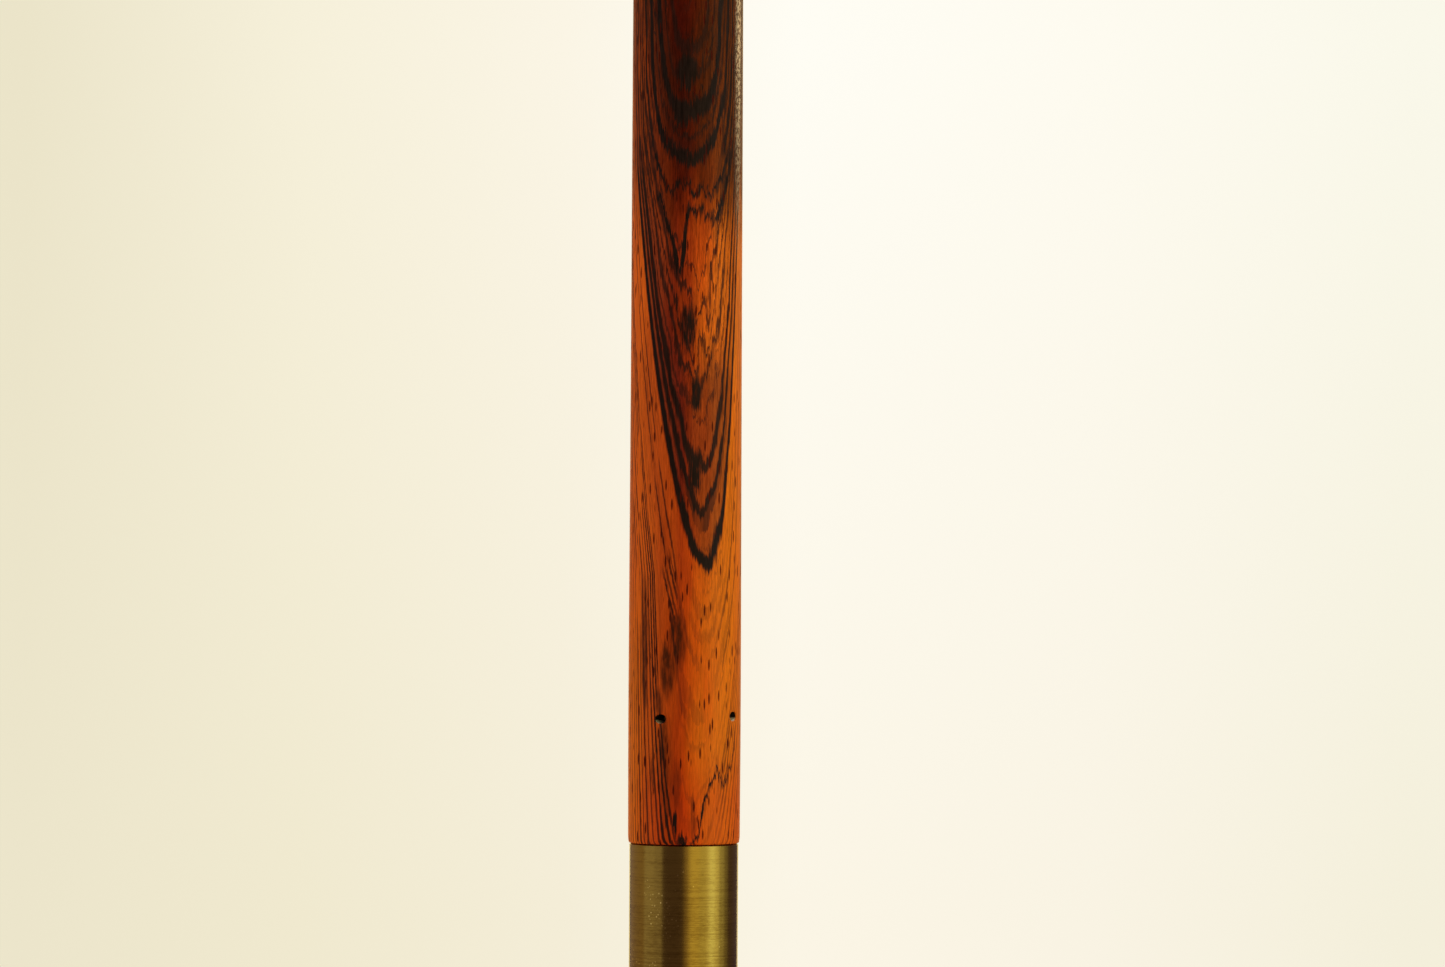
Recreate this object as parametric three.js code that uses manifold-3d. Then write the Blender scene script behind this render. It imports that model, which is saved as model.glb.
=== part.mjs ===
// Dip pen holder: a turned rosewood barrel with a brass ferrule, a four-petal spring clutch and a pointed nib.
// Millimetres, +Z along the pen's axis towards the tail, nib down. The origin is on the axis, where wood meets brass.
// The front of the pen, with the nib's convex side, faces -Y. Angles round the axis count from -Y towards +X.

import * as THREE from 'three';
import { mergeVertices } from 'three/addons/utils/BufferGeometryUtils.js';
import Module from 'manifold-3d';

const wasm = await Module();
wasm.setup();

// ---- driving dimensions ----

const BARREL_LENGTH = 132;
const BARREL_RADIUS = 4.8; // at its widest, a little above the ferrule
const JOINT_GAP = 0.08; // shadow line between wood and brass
const SLIP = 0.05; // radial clearance of pushed and soldered fits

const FERRULE_RADIUS = 4.65;
const FERRULE_WALL = 0.7;
const FERRULE_LENGTH = 24;

const CORE_PLUG_LENGTH = 9.5; // part of the core inside the ferrule
const SPIGOT_RADIUS = 2.5;
const SPIGOT_LENGTH = 22; // part of the core inside the barrel

const PIN_RADIUS = 0.36;
const PIN_HOLE_RADIUS = 0.4;
const PIN_HOLE_OVAL = 1.25; // the holes in the wood are a little wider round the barrel than along it
const PIN_INNER_END = 1.3; // distance of the pin's inner end from the axis
const PIN_OUTER_END = 3.6; // the pins are sunk more than a millimetre under the surface
// Two holes drilled right through, across each other, each with a pin from either side.
const PINS = [
  { angle: -25, height: 10.65 },
  { angle: 60, height: 10.85 },
  { angle: 155, height: 10.65 },
  { angle: 240, height: 10.85 },
];

const SLEEVE_WALL = 0.3;
const LIP_RADIUS = 4.3;
const LIP_HEIGHT = 0.7;
const PETAL_THICKNESS = 0.2;
const PETAL_COUNT = 4;
const PETAL_SLOT = 1.3;

const NIB_THICKNESS = 0.26;
const NIB_LENGTH = 37;
const NIB_HALF_WIDTH = 3.4;
const NIB_SLIT = 0.08;
const VENT_RADIUS = 0.62;

const CAP_LENGTH = 8;
const CAP_RADIUS = 4.14;
const CAP_FLAT_RADIUS = 1.5;
const STUD_RADIUS = 1.5;
const STUD_IN_BARREL = 12;
const STUD_IN_CAP = 4.6;

const ROUND_LARGE = 44; // facets round the large turned pieces
const ROUND_SMALL = 32;
const ROUND_STUD = 16;
const ROUND_PIN = 12;

// ---- places worked out from them ----

const CORE_BOTTOM = -CORE_PLUG_LENGTH;
const TUBE_INNER = FERRULE_RADIUS - FERRULE_WALL;
const SLEEVE_OUTER = TUBE_INNER - SLIP;
const SLEEVE_INNER = SLEEVE_OUTER - SLEEVE_WALL;
const SLEEVE_TOP = CORE_BOTTOM - 0.3;
const TUBE_BOTTOM = -FERRULE_LENGTH;
const LIP_TOP = TUBE_BOTTOM - SLIP;
const MOUTH = LIP_TOP - LIP_HEIGHT;
const NIB_OUTER = SLEEVE_INNER - SLIP;
const NIB_INNER = NIB_OUTER - NIB_THICKNESS;
const PETAL_OUTER = NIB_INNER - SLIP;
const CLAW_TOP = SLEEVE_TOP - 0.2;
const CLAW_STEP = CLAW_TOP - 1.8; // where the claw narrows: the nib's heel stops against this step
const NIB_HEEL = CLAW_STEP - 0.35;
const NIB_TIP = NIB_HEEL - NIB_LENGTH;
const CAP_BOTTOM = BARREL_LENGTH + JOINT_GAP;
const CAP_TOP = CAP_BOTTOM + CAP_LENGTH;

// ---- materials ----

const rosewood = new THREE.MeshStandardMaterial({ color: 0x9a4312, roughness: 0.42, metalness: 0 });
const brass = new THREE.MeshStandardMaterial({ color: 0xa98b3a, roughness: 0.32, metalness: 1 });
const tinnedSteel = new THREE.MeshStandardMaterial({ color: 0xb9b8b2, roughness: 0.3, metalness: 1 });
const nibSteel = new THREE.MeshStandardMaterial({ color: 0x9fa1a3, roughness: 0.25, metalness: 1 });

// ---- geometry helpers ----

// A turned piece: the profile is a list of [radius, z] going up the outside.
function turned(profile, facets) {
  const points = profile.map(([radius, z]) => new THREE.Vector2(radius, z));
  return new THREE.LatheGeometry(points, facets).rotateX(Math.PI / 2);
}

function toSolid(geometry) {
  const bare = geometry.clone();
  bare.deleteAttribute('normal');
  bare.deleteAttribute('uv');
  const merged = mergeVertices(bare, 1e-3);
  return new wasm.Manifold(
    new wasm.Mesh({
      numProp: 3,
      vertProperties: new Float32Array(merged.attributes.position.array),
      triVerts: new Uint32Array(merged.index.array),
    }),
  );
}

function toGeometry(solid) {
  const mesh = solid.getMesh();
  const geometry = new THREE.BufferGeometry();
  geometry.setAttribute('position', new THREE.BufferAttribute(new Float32Array(mesh.vertProperties), 3));
  geometry.setIndex(new THREE.BufferAttribute(new Uint32Array(mesh.triVerts), 1));
  geometry.computeVertexNormals();
  return geometry;
}

function cutAway(geometry, cutters) {
  const solid = cutters.reduce((rest, cutter) => rest.subtract(toSolid(cutter)), toSolid(geometry));
  return toGeometry(solid);
}

// A rod that lies along a radius of the pen, from one distance off the axis to another.
function radialRod({ angle, height }, radius, from, to, facets, oval = 1) {
  return new THREE.CylinderGeometry(radius, radius, to - from, facets)
    .scale(oval, 1, 1)
    .translate(0, -(from + to) / 2, 0)
    .rotateZ(THREE.MathUtils.degToRad(angle))
    .translate(0, 0, height);
}

// A smooth curve through [radius, z] points, as a list of such points.
function smoothOutline(points, steps) {
  const curve = new THREE.SplineCurve(points.map(([radius, z]) => new THREE.Vector2(radius, z)));
  return curve.getPoints(steps).map((p) => [p.x, p.y]);
}

// Evenly spaced [radius, z] points on a quarter round, from its first angle to its last, in degrees.
function roundEdge(centreRadius, centreZ, size, firstAngle, lastAngle, steps) {
  return Array.from({ length: steps + 1 }, (_, i) => {
    const a = THREE.MathUtils.degToRad(firstAngle + ((lastAngle - firstAngle) * i) / steps);
    return [centreRadius + size * Math.cos(a), centreZ + size * Math.sin(a)];
  });
}

// ---- sub-parts ----

// The outside of the barrel: eased at the joint, widest at a tenth of its length, then a slow taper to the tail.
function barrelOutline() {
  const taper = [
    [0.986, 0.25],
    [0.995, 1.5],
    [1, 0.1 * BARREL_LENGTH],
    [0.988, 0.3 * BARREL_LENGTH],
    [0.978, 0.55 * BARREL_LENGTH],
    [0.945, 0.8 * BARREL_LENGTH],
    [0.888, BARREL_LENGTH - 0.3],
  ];
  return smoothOutline(taper.map(([share, z]) => [share * BARREL_RADIUS, z]), 15);
}

function barrel() {
  const boreRadius = SPIGOT_RADIUS + SLIP;
  const studBore = STUD_RADIUS + SLIP;
  const profile = [
    [0, SPIGOT_LENGTH + 0.5],
    [boreRadius, SPIGOT_LENGTH + 0.5],
    [boreRadius, 0],
    [BARREL_RADIUS * 0.97, 0],
    ...barrelOutline(),
    [BARREL_RADIUS * 0.87, BARREL_LENGTH],
    [studBore, BARREL_LENGTH],
    [studBore, BARREL_LENGTH - STUD_IN_BARREL - 0.5],
    [0, BARREL_LENGTH - STUD_IN_BARREL - 0.5],
  ];
  const holes = PINS.map((pin) =>
    radialRod(pin, PIN_HOLE_RADIUS, boreRadius - 0.5, BARREL_RADIUS + 1, 18, PIN_HOLE_OVAL),
  );
  return cutAway(turned(profile, ROUND_LARGE), holes);
}

function ferruleTube() {
  const chamfer = 0.12;
  return turned(
    [
      [TUBE_INNER, TUBE_BOTTOM + 0.15],
      [TUBE_INNER + 0.15, TUBE_BOTTOM],
      ...roundEdge(FERRULE_RADIUS - 0.25, TUBE_BOTTOM + 0.25, 0.25, -90, 0, 3),
      [FERRULE_RADIUS, -JOINT_GAP - chamfer],
      [FERRULE_RADIUS - chamfer, -JOINT_GAP],
      [TUBE_INNER, -JOINT_GAP],
      [TUBE_INNER, TUBE_BOTTOM + 0.15],
    ],
    ROUND_LARGE,
  );
}

// One turned piece: the plug is soldered into the tube, the grooved spigot is cemented and pinned in the barrel.
function ferruleCore() {
  const plugRadius = TUBE_INNER - SLIP;
  const grooveDepth = 0.25;
  const grooves = [3.5, 6, 15.5, 18].flatMap((z) => [
    [SPIGOT_RADIUS, z],
    [SPIGOT_RADIUS - grooveDepth, z + 0.3],
    [SPIGOT_RADIUS - grooveDepth, z + 0.7],
    [SPIGOT_RADIUS, z + 1],
  ]);
  const profile = [
    [0, CORE_BOTTOM],
    [plugRadius - 0.2, CORE_BOTTOM],
    [plugRadius, CORE_BOTTOM + 0.2],
    [plugRadius, -JOINT_GAP],
    [SPIGOT_RADIUS, -JOINT_GAP],
    ...grooves,
    [SPIGOT_RADIUS, SPIGOT_LENGTH - 0.5],
    [SPIGOT_RADIUS - 0.5, SPIGOT_LENGTH],
    [0, SPIGOT_LENGTH],
  ];
  const sockets = PINS.map((pin) =>
    radialRod(pin, PIN_HOLE_RADIUS, PIN_INNER_END - 0.1, SPIGOT_RADIUS + 0.5, ROUND_PIN),
  );
  return cutAway(turned(profile, ROUND_SMALL), sockets);
}

function ferrulePin(pin) {
  return radialRod(pin, PIN_RADIUS, PIN_INNER_END, PIN_OUTER_END, ROUND_PIN);
}

// The outer half of the clutch: a thin drawn sleeve with a lip that stays outside the tube, to pull it out by.
function clutchSleeve() {
  return turned(
    [
      [SLEEVE_INNER, MOUTH + 0.12],
      [SLEEVE_INNER + 0.12, MOUTH],
      [LIP_RADIUS - 0.25, MOUTH],
      ...roundEdge(LIP_RADIUS - LIP_HEIGHT / 2, MOUTH + LIP_HEIGHT / 2, LIP_HEIGHT / 2, -60, 60, 4),
      [LIP_RADIUS - 0.25, LIP_TOP],
      [SLEEVE_OUTER, LIP_TOP],
      [SLEEVE_OUTER, SLEEVE_TOP],
      [SLEEVE_INNER, SLEEVE_TOP],
      [SLEEVE_INNER, MOUTH + 0.12],
    ],
    ROUND_LARGE,
  );
}

// The inner half: a shallow cup crimped in the top of the sleeve, with four petals that run down to the mouth.
// Below the step the petals leave room for the nib's heel, and bow out a little to press on it.
function clutchPetals() {
  const cupOuter = SLEEVE_INNER - SLIP;
  const relaxed = PETAL_OUTER - 0.06;
  const petalEnd = MOUTH + 1.4;
  const outside = [
    [relaxed, petalEnd],
    [PETAL_OUTER, petalEnd + 1.8],
    [PETAL_OUTER, petalEnd + 3.6],
    [relaxed, petalEnd + 6.5],
    [relaxed, CLAW_STEP - 0.1],
    [cupOuter, CLAW_STEP + 0.2],
    [cupOuter, CLAW_TOP],
  ];
  const inside = outside.slice(0, -1).map(([radius, z]) => [radius - PETAL_THICKNESS, z]);
  const solid = turned([[0, petalEnd], ...outside, [0, CLAW_TOP]], ROUND_SMALL);
  const hollow = turned(
    [
      [0, petalEnd - 1],
      [relaxed - PETAL_THICKNESS, petalEnd - 1],
      ...inside,
      [cupOuter - PETAL_THICKNESS, CLAW_TOP - PETAL_THICKNESS],
      [0, CLAW_TOP - PETAL_THICKNESS],
    ],
    ROUND_SMALL,
  );
  const slotTop = CLAW_STEP - 0.6;
  const slotLength = slotTop - petalEnd + 1;
  const slots = Array.from({ length: PETAL_COUNT / 2 }, (_, i) =>
    new THREE.BoxGeometry(PETAL_SLOT, 4 * SLEEVE_INNER, slotLength)
      .translate(0, 0, slotTop - slotLength / 2)
      .rotateZ(Math.PI / PETAL_COUNT + (i * 2 * Math.PI) / PETAL_COUNT),
  );
  return cutAway(solid, [hollow, ...slots]);
}

// The nib seen from the front: a straight heel, round shoulders and a hollow run to the point.
function nibOutline() {
  const shape = new THREE.Shape();
  const shoulder = NIB_TIP + 18.5;
  shape.moveTo(-NIB_HALF_WIDTH, NIB_HEEL);
  shape.lineTo(-NIB_HALF_WIDTH, shoulder);
  shape.bezierCurveTo(-NIB_HALF_WIDTH, shoulder - 5, -2.1, NIB_TIP + 11, -1.25, NIB_TIP + 7);
  shape.quadraticCurveTo(-0.55, NIB_TIP + 3, -0.2, NIB_TIP);
  shape.lineTo(0.2, NIB_TIP);
  shape.quadraticCurveTo(0.55, NIB_TIP + 3, 1.25, NIB_TIP + 7);
  shape.bezierCurveTo(2.1, NIB_TIP + 11, NIB_HALF_WIDTH, shoulder - 5, NIB_HALF_WIDTH, shoulder);
  shape.lineTo(NIB_HALF_WIDTH, NIB_HEEL);
  shape.closePath();
  return shape;
}

// Bent sheet steel: a thin turned shell that curves in towards the point, cut to the nib's outline.
function nib() {
  const crown = [
    [NIB_OUTER - 1.9, NIB_TIP - 0.5],
    [NIB_OUTER - 0.7, NIB_TIP + 8],
    [NIB_OUTER - 0.1, NIB_TIP + 15],
    [NIB_OUTER, NIB_TIP + 21],
  ];
  const outside = [...smoothOutline(crown, 9), [NIB_OUTER, NIB_HEEL]];
  const inside = outside.map(([radius, z]) => [radius - NIB_THICKNESS, z]).reverse();
  const shell = turned([...outside, ...inside, outside[0]], 64);
  const blank = new THREE.ExtrudeGeometry(nibOutline(), {
    depth: 2 * NIB_OUTER,
    bevelEnabled: false,
    curveSegments: 8,
  }).rotateX(Math.PI / 2);
  const vent = NIB_TIP + 13;
  const slit = new THREE.BoxGeometry(NIB_SLIT, 4 * NIB_OUTER, vent - NIB_TIP + 1).translate(
    0,
    0,
    (vent + NIB_TIP - 1) / 2,
  );
  const ventHole = new THREE.CylinderGeometry(VENT_RADIUS, VENT_RADIUS, 4 * NIB_OUTER, 20).translate(0, 0, vent);
  const shoulderCuts = [-1, 1].map((side) =>
    new THREE.BoxGeometry(1.9, 4 * NIB_OUTER, 0.22)
      .rotateY(side * 0.5)
      .translate(side * 2.75, 0, NIB_TIP + 12.5),
  );
  const cut = toSolid(shell).intersect(toSolid(blank));
  const cutters = [slit, ventHole, ...shoulderCuts];
  return toGeometry(cutters.reduce((rest, cutter) => rest.subtract(toSolid(cutter)), cut));
}

// Solid brass with a low dome, a small flat on top and a fine groove above the joint.
function endCap() {
  const groove = CAP_RADIUS - 0.2;
  const dome = [
    [CAP_RADIUS - 0.12, CAP_BOTTOM + 3],
    [CAP_RADIUS - 0.3, CAP_BOTTOM + 5.2],
    [CAP_RADIUS - 1.1, CAP_TOP - 0.95],
    [CAP_FLAT_RADIUS, CAP_TOP],
  ];
  return turned(
    [
      [0, CAP_BOTTOM + STUD_IN_CAP + 0.4],
      [STUD_RADIUS + SLIP, CAP_BOTTOM + STUD_IN_CAP + 0.4],
      [STUD_RADIUS + SLIP, CAP_BOTTOM],
      [CAP_RADIUS - 0.12, CAP_BOTTOM],
      [CAP_RADIUS, CAP_BOTTOM + 0.12],
      [CAP_RADIUS - 0.03, CAP_BOTTOM + 1.5],
      [groove, CAP_BOTTOM + 1.7],
      [groove, CAP_BOTTOM + 1.85],
      [CAP_RADIUS - 0.05, CAP_BOTTOM + 2.05],
      ...smoothOutline(dome, 7),
      [0, CAP_TOP],
    ],
    ROUND_LARGE,
  );
}

// A threaded stud, shown with ring ridges in place of the helix.
function endCapStud() {
  const bottom = BARREL_LENGTH - STUD_IN_BARREL;
  const top = CAP_BOTTOM + STUD_IN_CAP;
  const pitch = 1;
  const ridges = Math.floor((top - bottom - 1) / pitch);
  const thread = Array.from({ length: ridges }, (_, i) => [
    [STUD_RADIUS, bottom + 0.5 + i * pitch],
    [STUD_RADIUS - 0.28, bottom + 0.5 + (i + 0.5) * pitch],
  ]).flat();
  return turned(
    [
      [0, bottom],
      [STUD_RADIUS - 0.4, bottom],
      ...thread,
      [STUD_RADIUS, bottom + 0.5 + ridges * pitch],
      [STUD_RADIUS - 0.4, top],
      [0, top],
    ],
    ROUND_STUD,
  );
}

// ---- assembly ----

const pen = new THREE.Group();

function add(name, geometry, material) {
  const mesh = new THREE.Mesh(geometry, material);
  mesh.name = name;
  pen.add(mesh);
}

add('barrel', barrel(), rosewood);
add('ferrule_tube', ferruleTube(), brass);
add('ferrule_core', ferruleCore(), brass);
PINS.forEach((pin, i) => add(`ferrule_pin_${i + 1}`, ferrulePin(pin), brass));
add('clutch_sleeve', clutchSleeve(), tinnedSteel);
add('clutch_petals', clutchPetals(), tinnedSteel);
add('nib', nib(), nibSteel);
add('end_cap', endCap(), brass);
add('end_cap_stud', endCapStud(), brass);

export default pen;
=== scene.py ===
"""A dip pen holder's looks: rosewood barrel, brushed brass ferrule and cap, steel clutch and nib.

Everything is in the CAD model's frame: +Z along the pen towards its tail, with the origin where wood meets
brass. Camera, lights and background are in metres. Shapes and materials are worked out in millimetres.
"""
import math

import bmesh
import bpy
from mathutils import Matrix, Vector


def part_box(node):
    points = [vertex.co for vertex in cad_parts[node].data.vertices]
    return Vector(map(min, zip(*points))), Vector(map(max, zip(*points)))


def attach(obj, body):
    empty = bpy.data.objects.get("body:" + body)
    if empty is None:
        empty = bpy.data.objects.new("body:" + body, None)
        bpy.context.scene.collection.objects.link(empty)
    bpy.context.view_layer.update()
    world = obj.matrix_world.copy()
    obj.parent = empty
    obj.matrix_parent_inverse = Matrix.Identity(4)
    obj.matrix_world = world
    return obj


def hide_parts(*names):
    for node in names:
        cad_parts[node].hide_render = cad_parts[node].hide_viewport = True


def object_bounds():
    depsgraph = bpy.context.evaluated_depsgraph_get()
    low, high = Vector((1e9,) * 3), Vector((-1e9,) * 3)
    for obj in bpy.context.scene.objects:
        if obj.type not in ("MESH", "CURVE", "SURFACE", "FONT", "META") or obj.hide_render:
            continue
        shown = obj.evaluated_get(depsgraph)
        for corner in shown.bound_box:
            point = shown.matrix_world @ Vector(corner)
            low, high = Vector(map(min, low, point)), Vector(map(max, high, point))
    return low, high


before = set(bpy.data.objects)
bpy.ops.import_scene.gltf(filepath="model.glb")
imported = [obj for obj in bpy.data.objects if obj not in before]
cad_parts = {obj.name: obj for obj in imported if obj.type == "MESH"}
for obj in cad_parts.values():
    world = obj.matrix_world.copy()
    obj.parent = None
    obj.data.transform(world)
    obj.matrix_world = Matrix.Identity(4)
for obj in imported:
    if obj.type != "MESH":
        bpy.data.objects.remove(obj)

CAD_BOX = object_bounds()
MM = 0.001
SEGMENTS = 288  # round the large turned pieces
SMALL_SEGMENTS = 96  # round the core and the floor
SCENE = bpy.context.scene


# ---- sizes read from the frame, in millimetres ----


def radius_of(node):
    """Half a round node's width."""
    low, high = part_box(node)
    return (high.x - low.x) / 2 / MM


def bottom_of(node):
    """The height of a node's lowest point."""
    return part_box(node)[0].z / MM


def top_of(node):
    """The height of a node's highest point."""
    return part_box(node)[1].z / MM


# ---- camera ----

VIEW_HEIGHT = 30.65 * MM
VIEW_DISTANCE = 617 * MM
VIEW_SIDE = 3.14 * MM  # how far the camera stands to the right of the pen
VIEW_ROLL = -0.3  # degrees


def add_camera():
    """Level, above the joint of wood and brass, with a long lens and a trace of roll."""
    data = bpy.data.cameras.new("camera")
    data.sensor_width = 36
    data.lens = 180
    data.clip_start = 0.01
    data.clip_end = 50
    camera = bpy.data.objects.new("camera", data)
    camera.location = (VIEW_SIDE, -VIEW_DISTANCE, VIEW_HEIGHT)
    camera.rotation_euler = (math.radians(90), math.radians(VIEW_ROLL), 0)
    SCENE.collection.objects.link(camera)
    SCENE.camera = camera


# ---- lights ----

# Light cards round the pen: name, azimuths, elevations, radiance and colour. Brass mirrors each as a band.
RIGHT_SIDE = (-35, 45)
LEFT_SIDE = (-45, 60)
LIGHT_CARDS = [
    ("window_blind_edge", (1, 9), RIGHT_SIDE, 0.27, (1, 0.72, 0.3)),
    ("window_blind", (9, 14), RIGHT_SIDE, 0.62, (1, 0.8, 0.32)),
    ("window_wall", (14, 34), RIGHT_SIDE, 0.93, (1, 0.84, 0.32)),
    ("window_frame", (34, 51), RIGHT_SIDE, 0.82, (1, 0.92, 0.43)),
    ("window_left", (51, 57), RIGHT_SIDE, 1.1, (1, 0.98, 0.65)),
    ("window", (57, 70), RIGHT_SIDE, 1.42, (1, 1.08, 0.83)),
    ("window_right", (70, 81), RIGHT_SIDE, 1.13, (1, 1, 0.68)),
    ("window_reveal", (81, 96), RIGHT_SIDE, 0.52, (1, 1, 0.65)),
    ("window_side", (96, 108), RIGHT_SIDE, 0.2, (1, 0.95, 0.5)),
    ("left_door", (-65, -46), LEFT_SIDE, 0.32, (1, 0.92, 0.85)),
    ("left_wall", (-92, -65), LEFT_SIDE, 0.4, (1, 0.93, 0.85)),
    ("left_corner", (-150, -92), LEFT_SIDE, 0.27, (1, 0.74, 0.38)),
    ("backdrop_glow", (158, 202), (-25, 35), 1.1, (1, 0.84, 0.36)),
]
LEFT_FILL = ("left_fill", (-120, -40), (-35, 40), 0.34, (1, 0.95, 0.55))  # never mirrored
REAR_WINDOW = ("rear_window", (120, 146), (2.5, 40), 2.1, (1, 0.72, 0.33))  # lights the barrel only
CARD_DISTANCE = 0.9
CEILING_RADIANCE = 2.2
CEILING_SIZE = 0.8
CEILING_PLACE = (0.5, 0, 0.9)


def add_card(name, azimuths, elevations, radiance, colour, mirrored=True):
    """An upright light card that fills a range of directions, in degrees, as seen from the pen.

    Azimuth 0 is the camera's side and +90 its right; elevation counts from the height of the view.
    """
    left, right = (math.radians(a) for a in azimuths)
    foot, head = (CARD_DISTANCE * math.tan(math.radians(e)) for e in elevations)
    middle = (left + right) / 2
    data = bpy.data.lights.new(name, "AREA")
    data.shape = "RECTANGLE"
    data.size = 2 * CARD_DISTANCE * math.tan((right - left) / 2)
    data.size_y = head - foot
    data.color = colour
    data.energy = radiance * math.pi * data.size * data.size_y
    away = Vector((math.sin(middle), -math.cos(middle), 0))
    card = bpy.data.objects.new(name, data)
    card.location = away * CARD_DISTANCE + Vector((0, 0, VIEW_HEIGHT + (foot + head) / 2))
    card.rotation_euler = (-away).to_track_quat("-Z", "Y").to_euler()
    card.visible_camera = False
    card.visible_glossy = mirrored
    SCENE.collection.objects.link(card)
    return card


def light_only(card, pieces):
    """Keeps a light card to the given pieces."""
    lit = bpy.data.collections.new(f"{card.name}_lights")
    for piece in pieces:
        lit.objects.link(piece)
    card.light_linking.receiver_collection = lit


def add_ceiling():
    """A square light card overhead, which faces straight down."""
    data = bpy.data.lights.new("ceiling", "AREA")
    data.size = CEILING_SIZE
    data.energy = CEILING_RADIANCE * math.pi * CEILING_SIZE * CEILING_SIZE
    card = bpy.data.objects.new("ceiling", data)
    card.location = CEILING_PLACE
    card.visible_camera = False
    SCENE.collection.objects.link(card)


# ---- background ----

# The paper behind the pen: places across it, from left to right, with its colours above and below. The
# colours hold painted shading, darker and yellower towards the left and the bottom.
PAPER = [
    (0.02, (235, 228, 201), (236, 229, 203)),
    (0.21, (246, 240, 218), (240, 233, 207)),
    (0.39, (251, 245, 229), (244, 237, 215)),
    (0.55, (255, 253, 244), (251, 245, 229)),
    (0.76, (254, 251, 240), (249, 243, 227)),
    (0.97, (250, 248, 234), (244, 239, 219)),
]
PAPER_HALF_WIDTH = 0.1  # as the sine of an angle
PAPER_HALF_HEIGHT = 0.06
ROOM_COLOUR = (1, 0.66, 0.78, 1)
ROOM_STRENGTH = 0.12


def add_world():
    """Cream paper behind the pen for the camera, with painted shading that makes it darker and yellower
    towards the left and the bottom; a dim room for everything else.
    """
    world = bpy.data.worlds.new("room")
    world.use_nodes = True
    world.node_tree.nodes.clear()
    g = Graph(world.node_tree)
    x, _, z = g.split(g.new("TexCoord", "Generated"))
    across = g.fit(x, -PAPER_HALF_WIDTH, PAPER_HALF_WIDTH)
    above = g.ramp(across, [(at, srgb(*colour)) for at, colour, _ in PAPER])
    below = g.ramp(across, [(at, srgb(*colour)) for at, _, colour in PAPER])
    paper = g.mix(g.fit(z, PAPER_HALF_HEIGHT, -PAPER_HALF_HEIGHT), above, below)
    seen = g.new("Background", 0, {"Color": paper, "Strength": 1})
    room = g.new("Background", 0, {"Color": ROOM_COLOUR, "Strength": ROOM_STRENGTH})
    both = g.new("MixShader", 0, {0: g.new("LightPath", "Is Camera Ray"), 1: room, 2: seen})
    g.node("OutputWorld", {"Surface": both})
    SCENE.world = world


# ---- shader graphs ----


def srgb(red, green, blue):
    """A display colour in 0..255 as linear RGBA."""
    def linear(v):
        v /= 255
        return v / 12.92 if v <= 0.04045 else ((v + 0.055) / 1.055) ** 2.4
    return (linear(red), linear(green), linear(blue), 1)


def toned(rgb, factors):
    """A linear colour with each of its channels scaled, up to 1 at most."""
    return (*(min(channel * factor, 1) for channel, factor in zip(rgb, factors)), 1)


class Value:
    """A number or colour in a shader graph. Numbers join by +, -, *, /, ** and abs."""

    def __init__(self, graph, socket):
        self.graph = graph
        self.socket = socket

    def __add__(self, other):
        return self.graph.math("ADD", self, other)

    def __sub__(self, other):
        return self.graph.math("SUBTRACT", self, other)

    def __rsub__(self, other):
        return self.graph.math("SUBTRACT", other, self)

    def __mul__(self, other):
        return self.graph.math("MULTIPLY", self, other)

    def __truediv__(self, other):
        return self.graph.math("DIVIDE", self, other)

    def __pow__(self, other):
        return self.graph.math("POWER", self, other)

    def __abs__(self):
        return self.graph.math("ABSOLUTE", self)


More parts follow.
